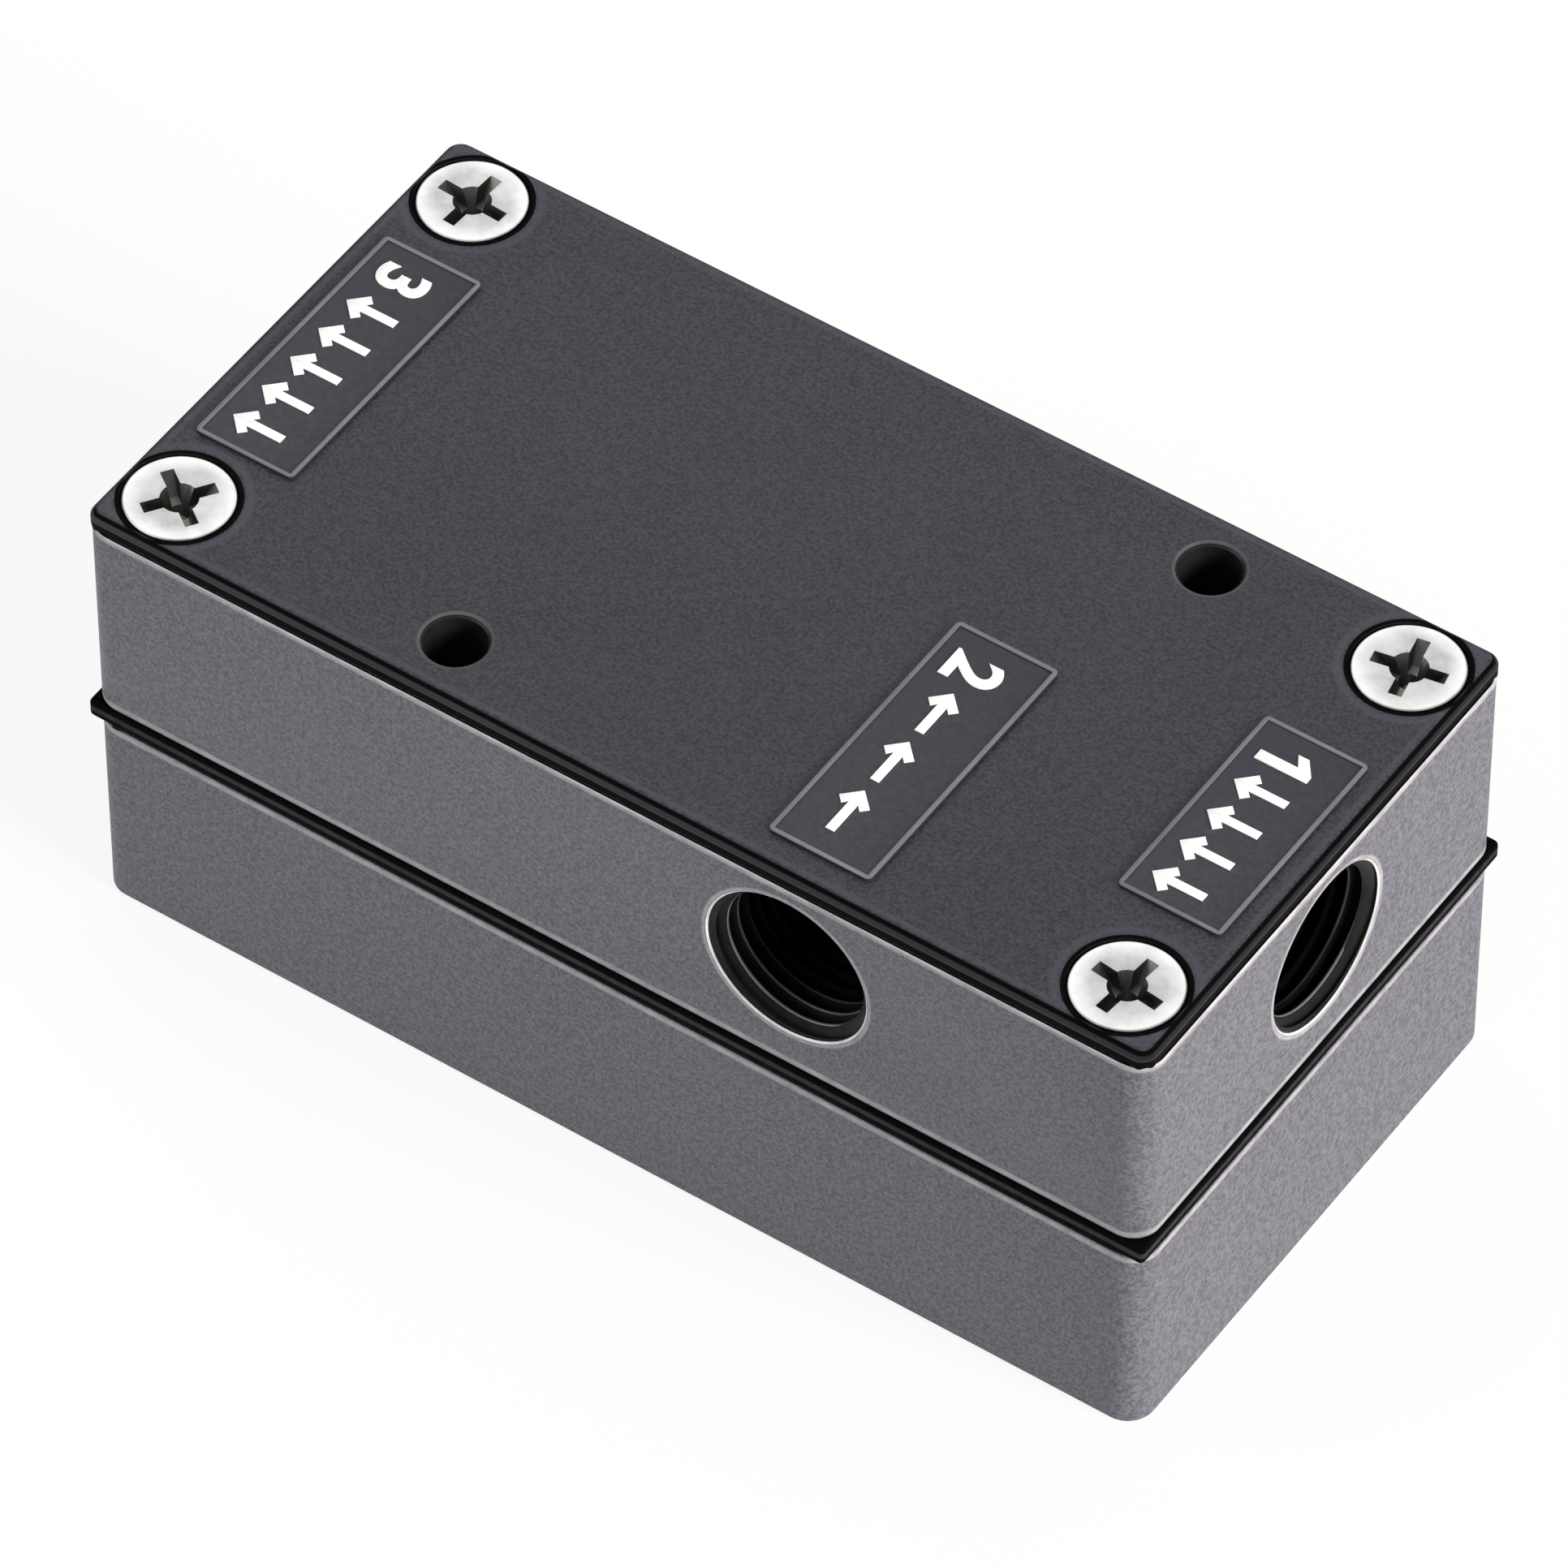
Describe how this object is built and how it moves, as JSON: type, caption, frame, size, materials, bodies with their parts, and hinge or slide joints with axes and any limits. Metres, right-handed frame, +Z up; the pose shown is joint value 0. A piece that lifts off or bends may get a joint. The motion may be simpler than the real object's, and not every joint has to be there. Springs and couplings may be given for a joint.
{
  "type": "vacuum ejector",
  "caption": "Multi-stage vacuum ejector: stacked rectangular blocks with a dark screwed cover, threaded air and vacuum ports, two through mounting holes and nozzles in line inside.",
  "frame": {"origin": "middle of the foot, on the surface that it rests on", "axes": "+X towards the supply port's end, -Y towards the vacuum port's face, +Z up through the cover plate"},
  "size_m": [0.0662, 0.0336, 0.0294],
  "materials": {
    "block": "cast aluminium, fine-grained grey coating",
    "cover": "charcoal coating, matt",
    "label": "dark label plate with a lighter rim",
    "gasket_rubber": "black sheet rubber",
    "rubber": "black nitrile rubber",
    "nozzle_acetal": "turned black acetal",
    "steel_sheet": "rolled stainless steel",
    "screw_plate": "bright nickel plate"
  },
  "bodies": {
    "root": {"lower_block": "block", "upper_block": "block", "valve_plate": "steel_sheet", "flap_valve_1": "rubber", "flap_valve_2": "rubber", "flap_rivets": "steel_sheet", "block_gasket": "gasket_rubber", "supply_nozzle": "nozzle_acetal", "second_nozzle": "nozzle_acetal", "third_nozzle": "nozzle_acetal", "outlet_diffuser": "nozzle_acetal", "nozzle_o_ring_1": "rubber", "nozzle_o_ring_2": "rubber", "nozzle_o_ring_3": "rubber", "nozzle_o_ring_4": "rubber", "cover_gasket": "rubber", "cover_plate": "cover", "cover_screws": "screw_plate", "outlet_label": "label", "vacuum_label": "label", "supply_label": "label"}
  },
  "joints": []
}
